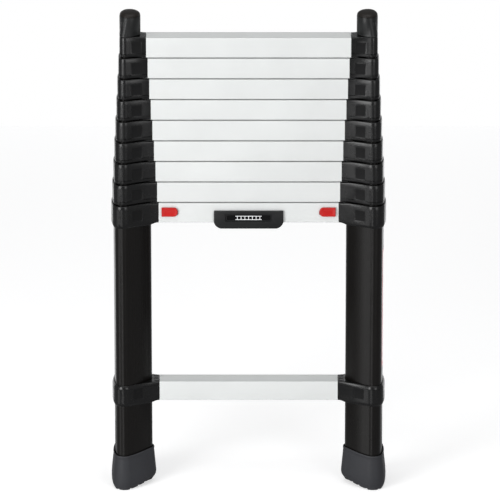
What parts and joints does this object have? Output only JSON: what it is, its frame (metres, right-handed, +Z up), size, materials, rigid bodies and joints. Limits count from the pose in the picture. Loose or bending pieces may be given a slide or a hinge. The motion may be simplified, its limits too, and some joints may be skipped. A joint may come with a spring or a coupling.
{
  "type": "telescoping ladder",
  "caption": "Collapsed telescoping ladder: nested black tube stiles, silver rungs stacked between plastic collars, red thumb releases, centre grip, rubber feet and domed caps.",
  "frame": {"origin": "on the floor, midway between the two feet and midway through the ladder's depth", "axes": "+Z up along the stiles, X along the rungs with +X to the right seen from the front, and the front, with the thumb buttons and the centre grip, faces -Y"},
  "size_m": [0.444, 0.0922, 0.7927],
  "materials": {
    "stile": "satin black anodised extrusion",
    "rung": "fine satin silver anodised extrusion",
    "collar": "satin black moulded glass-filled nylon",
    "foot": "matt dark grey moulded rubber",
    "cap": "satin black-brown moulded plastic",
    "button": "red moulded plastic, softly glossy",
    "grip": "satin dark grey moulded plastic",
    "insert": "glossy black blank plate",
    "steel": "bright zinc-plated steel"
  },
  "bodies": {
    "lower_frame": {"rung_1": "rung", "rung_2": "rung", "centre_grip": "grip", "grip_insert": "insert", "foot_left": "foot", "stile_tube_1_left": "stile", "collar_1_left": "collar", "collar_2_left": "collar", "lock_spring_left": "steel", "foot_right": "foot", "stile_tube_1_right": "stile", "collar_1_right": "collar", "collar_2_right": "collar", "lock_spring_right": "steel"},
    "section_2": {"rung_3": "rung", "stile_tube_2_left": "stile", "collar_3_left": "collar", "stile_tube_2_right": "stile", "collar_3_right": "collar"},
    "section_3": {"rung_4": "rung", "stile_tube_3_left": "stile", "collar_4_left": "collar", "stile_tube_3_right": "stile", "collar_4_right": "collar"},
    "section_4": {"rung_5": "rung", "stile_tube_4_left": "stile", "collar_5_left": "collar", "stile_tube_4_right": "stile", "collar_5_right": "collar"},
    "section_5": {"rung_6": "rung", "stile_tube_5_left": "stile", "collar_6_left": "collar", "stile_tube_5_right": "stile", "collar_6_right": "collar"},
    "section_6": {"rung_7": "rung", "stile_tube_6_left": "stile", "collar_7_left": "collar", "stile_tube_6_right": "stile", "collar_7_right": "collar"},
    "section_7": {"rung_8": "rung", "stile_tube_7_left": "stile", "collar_8_left": "collar", "stile_tube_7_right": "stile", "collar_8_right": "collar"},
    "section_8": {"rung_9": "rung", "stile_tube_8_left": "stile", "collar_9_left": "collar", "stile_tube_8_right": "stile", "collar_9_right": "collar"},
    "section_9": {"rung_10": "rung", "stile_tube_9_left": "stile", "collar_10_left": "collar", "stile_tube_9_right": "stile", "collar_10_right": "collar", "top_cap_left": "cap", "top_cap_right": "cap"},
    "release_left": {"release_button_left": "button", "lock_bolt_left": "steel"},
    "release_right": {"release_button_right": "button", "lock_bolt_right": "steel"}
  },
  "joints": [
    {"name": "section_2_slide", "type": "slide", "parent": "lower_frame", "child": "section_2", "axis": [0, 0, 1], "range_m": [0, 0.267]},
    {"name": "section_3_slide", "type": "slide", "parent": "section_2", "child": "section_3", "axis": [0, 0, 1], "range_m": [0, 0.267]},
    {"name": "section_4_slide", "type": "slide", "parent": "section_3", "child": "section_4", "axis": [0, 0, 1], "range_m": [0, 0.267]},
    {"name": "section_5_slide", "type": "slide", "parent": "section_4", "child": "section_5", "axis": [0, 0, 1], "range_m": [0, 0.267]},
    {"name": "section_6_slide", "type": "slide", "parent": "section_5", "child": "section_6", "axis": [0, 0, 1], "range_m": [0, 0.267]},
    {"name": "section_7_slide", "type": "slide", "parent": "section_6", "child": "section_7", "axis": [0, 0, 1], "range_m": [0, 0.267]},
    {"name": "section_8_slide", "type": "slide", "parent": "section_7", "child": "section_8", "axis": [0, 0, 1], "range_m": [0, 0.267]},
    {"name": "section_9_slide", "type": "slide", "parent": "section_8", "child": "section_9", "axis": [0, 0, 1], "range_m": [0, 0.267]},
    {"name": "release_left_slide", "type": "slide", "parent": "lower_frame", "child": "release_left", "axis": [1, 0, 0], "range_m": [0, 0.007], "stiffness_N_per_m": 300, "springref_m": -0.006, "deforming": ["lock_spring_left"]},
    {"name": "release_right_slide", "type": "slide", "parent": "lower_frame", "child": "release_right", "axis": [-1, 0, 0], "range_m": [0, 0.007], "stiffness_N_per_m": 300, "springref_m": -0.006, "deforming": ["lock_spring_right"]}
  ]
}
